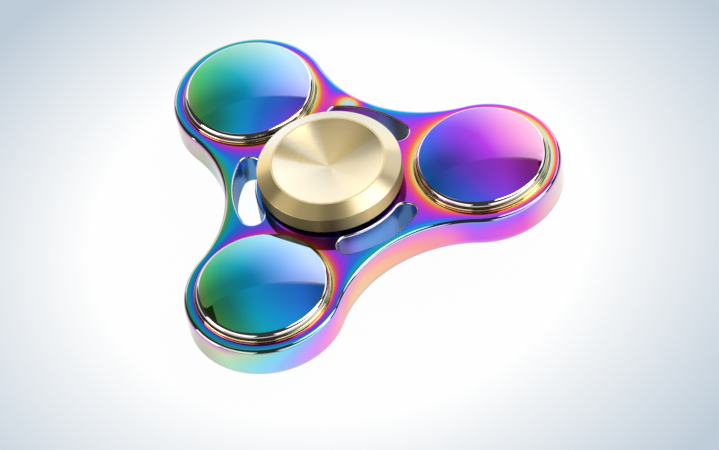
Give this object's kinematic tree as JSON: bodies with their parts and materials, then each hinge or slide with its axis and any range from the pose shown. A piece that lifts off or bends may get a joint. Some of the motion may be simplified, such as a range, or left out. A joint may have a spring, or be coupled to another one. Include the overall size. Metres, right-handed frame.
{
  "type": "fidget spinner",
  "caption": "Lobed metal fidget spinner: mirror-plated body with domed weights that turns on a ball bearing between dished finger caps.",
  "frame": {"origin": "centre of the bearing, where the spin axis meets the body's mid-plane", "axes": "+Z along the spin axis out of the upper finger cap, +Y from the axis to the centre of lobe a"},
  "size_m": [0.0612, 0.056, 0.014],
  "materials": {
    "rainbow_plate": "polished",
    "rainbow_dome": "polished",
    "spun_gold": "satin",
    "bearing_steel": "satin",
    "ball_steel": "polished",
    "cage_steel": "satin",
    "shield_steel": "satin",
    "wire_steel": "satin",
    "stud_steel": "satin"
  },
  "bodies": {
    "finger_hub": {"upper_finger_cap": "spun_gold", "lower_finger_cap": "spun_gold", "bearing_inner_ring": "bearing_steel"},
    "rotor": {"spinner_body": "rainbow_plate", "upper_weight_a": "rainbow_dome", "upper_weight_b": "rainbow_dome", "upper_weight_c": "rainbow_dome", "lower_weight_a": "rainbow_dome", "lower_weight_b": "rainbow_dome", "lower_weight_c": "rainbow_dome", "weight_stud_a": "stud_steel", "weight_stud_b": "stud_steel", "weight_stud_c": "stud_steel", "bearing_outer_ring": "bearing_steel", "upper_shield": "shield_steel", "lower_shield": "shield_steel", "upper_snap_ring": "wire_steel", "lower_snap_ring": "wire_steel"},
    "cage": {"ball_cage": "cage_steel"},
    "ball_1": {"ball_1": "ball_steel"},
    "ball_2": {"ball_2": "ball_steel"},
    "ball_3": {"ball_3": "ball_steel"},
    "ball_4": {"ball_4": "ball_steel"},
    "ball_5": {"ball_5": "ball_steel"},
    "ball_6": {"ball_6": "ball_steel"},
    "ball_7": {"ball_7": "ball_steel"},
    "ball_8": {"ball_8": "ball_steel"},
    "ball_9": {"ball_9": "ball_steel"},
    "ball_10": {"ball_10": "ball_steel"}
  },
  "joints": [
    {"name": "rotor_spin", "type": "hinge", "parent": "finger_hub", "child": "rotor", "pos_m": [0, 0, 0], "axis": [0, 0, 1], "continuous": true},
    {"name": "cage_orbit", "type": "hinge", "parent": "finger_hub", "child": "cage", "pos_m": [0, 0, 0], "axis": [0, 0, 1], "continuous": true},
    {"name": "ball_1_roll", "type": "hinge", "parent": "cage", "child": "ball_1", "pos_m": [0.00476, 0, 0], "axis": [0, 0, 1], "continuous": true},
    {"name": "ball_2_roll", "type": "hinge", "parent": "cage", "child": "ball_2", "pos_m": [0.00385, 0.0028, 0], "axis": [0, 0, 1], "continuous": true},
    {"name": "ball_3_roll", "type": "hinge", "parent": "cage", "child": "ball_3", "pos_m": [0.00147, 0.00453, 0], "axis": [0, 0, 1], "continuous": true},
    {"name": "ball_4_roll", "type": "hinge", "parent": "cage", "child": "ball_4", "pos_m": [-0.00147, 0.00453, 0], "axis": [0, 0, 1], "continuous": true},
    {"name": "ball_5_roll", "type": "hinge", "parent": "cage", "child": "ball_5", "pos_m": [-0.00385, 0.0028, 0], "axis": [0, 0, 1], "continuous": true},
    {"name": "ball_6_roll", "type": "hinge", "parent": "cage", "child": "ball_6", "pos_m": [-0.00476, 0, 0], "axis": [0, 0, 1], "continuous": true},
    {"name": "ball_7_roll", "type": "hinge", "parent": "cage", "child": "ball_7", "pos_m": [-0.00385, -0.0028, 0], "axis": [0, 0, 1], "continuous": true},
    {"name": "ball_8_roll", "type": "hinge", "parent": "cage", "child": "ball_8", "pos_m": [-0.00147, -0.00453, 0], "axis": [0, 0, 1], "continuous": true},
    {"name": "ball_9_roll", "type": "hinge", "parent": "cage", "child": "ball_9", "pos_m": [0.00147, -0.00453, 0], "axis": [0, 0, 1], "continuous": true},
    {"name": "ball_10_roll", "type": "hinge", "parent": "cage", "child": "ball_10", "pos_m": [0.00385, -0.0028, 0], "axis": [0, 0, 1], "continuous": true}
  ],
  "couplings": [
    {"joint": "cage_orbit", "follows": "rotor_spin", "ratio": 0.60415},
    {"joint": "ball_1_roll", "follows": "rotor_spin", "ratio": 2.2963},
    {"joint": "ball_2_roll", "follows": "rotor_spin", "ratio": 2.2963},
    {"joint": "ball_3_roll", "follows": "rotor_spin", "ratio": 2.2963},
    {"joint": "ball_4_roll", "follows": "rotor_spin", "ratio": 2.2963},
    {"joint": "ball_5_roll", "follows": "rotor_spin", "ratio": 2.2963},
    {"joint": "ball_6_roll", "follows": "rotor_spin", "ratio": 2.2963},
    {"joint": "ball_7_roll", "follows": "rotor_spin", "ratio": 2.2963},
    {"joint": "ball_8_roll", "follows": "rotor_spin", "ratio": 2.2963},
    {"joint": "ball_9_roll", "follows": "rotor_spin", "ratio": 2.2963},
    {"joint": "ball_10_roll", "follows": "rotor_spin", "ratio": 2.2963}
  ]
}
